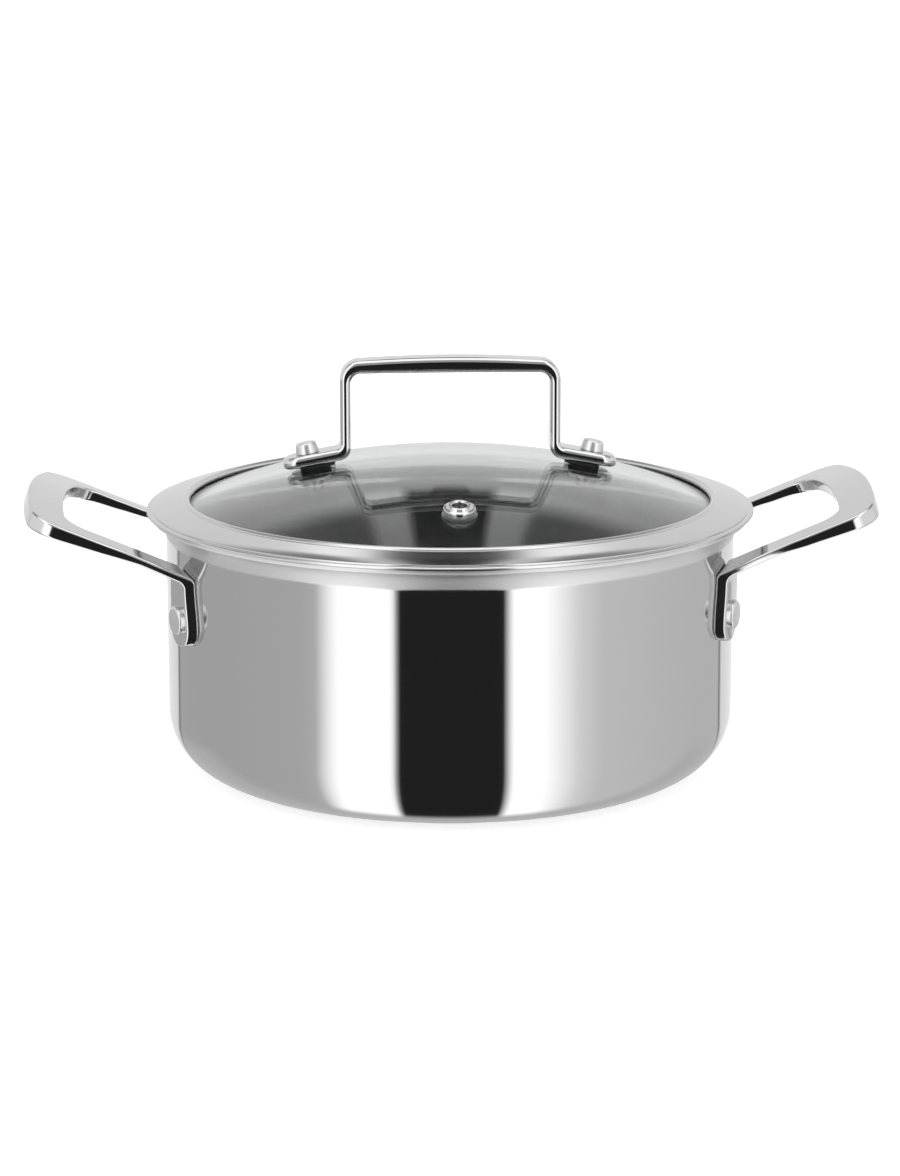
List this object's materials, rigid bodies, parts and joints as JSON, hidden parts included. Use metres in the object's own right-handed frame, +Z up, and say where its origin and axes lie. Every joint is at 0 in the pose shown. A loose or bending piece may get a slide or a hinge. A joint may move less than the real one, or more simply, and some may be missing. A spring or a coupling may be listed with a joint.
{
  "type": "two-handled saucepan with glass lid",
  "caption": "Stainless steel two-handled saucepan with a flared pouring rim, riveted loop handles and a domed glass lid that has a wide steel band, a bent strap handle and a steam vent.",
  "frame": {"origin": "middle of the pot's flat base, on the surface it stands on", "axes": "+X to the right along the line through the two loop handles, +Y away from the steam vent to the rear, +Z up along the pot's axis"},
  "size_m": [0.2982, 0.2136, 0.1458],
  "materials": {
    "satin_steel": "satin",
    "pot_steel": "polished, slightly satin",
    "polished_steel": "polished",
    "inner_steel": "brushed in rings",
    "core_metal": "plain",
    "clear_glass": "clear",
    "dark_silicone": "matte"
  },
  "bodies": {
    "pot": {"pot_outer_skin": "pot_steel", "pot_core": "core_metal", "pot_liner": "inner_steel", "left_handle": "polished_steel", "right_handle": "polished_steel", "left_front_rivet": "satin_steel", "left_rear_rivet": "satin_steel", "right_front_rivet": "satin_steel", "right_rear_rivet": "satin_steel"},
    "lid": {"lid_glass": "clear_glass", "lid_rim_band": "satin_steel", "lid_handle": "polished_steel", "lid_rivet_left": "satin_steel", "lid_rivet_right": "satin_steel", "foot_pad_left": "dark_silicone", "foot_pad_right": "dark_silicone", "rivet_bush_left": "dark_silicone", "rivet_bush_right": "dark_silicone", "lower_seal_left": "dark_silicone", "lower_seal_right": "dark_silicone", "stud_washer_left": "satin_steel", "stud_washer_right": "satin_steel", "vent_eyelet": "polished_steel", "vent_washer": "satin_steel"}
  },
  "joints": [
    {"name": "lid_lift", "type": "slide", "parent": "pot", "child": "lid", "axis": [0, 0, 1], "range_m": [0, 0.12]}
  ]
}
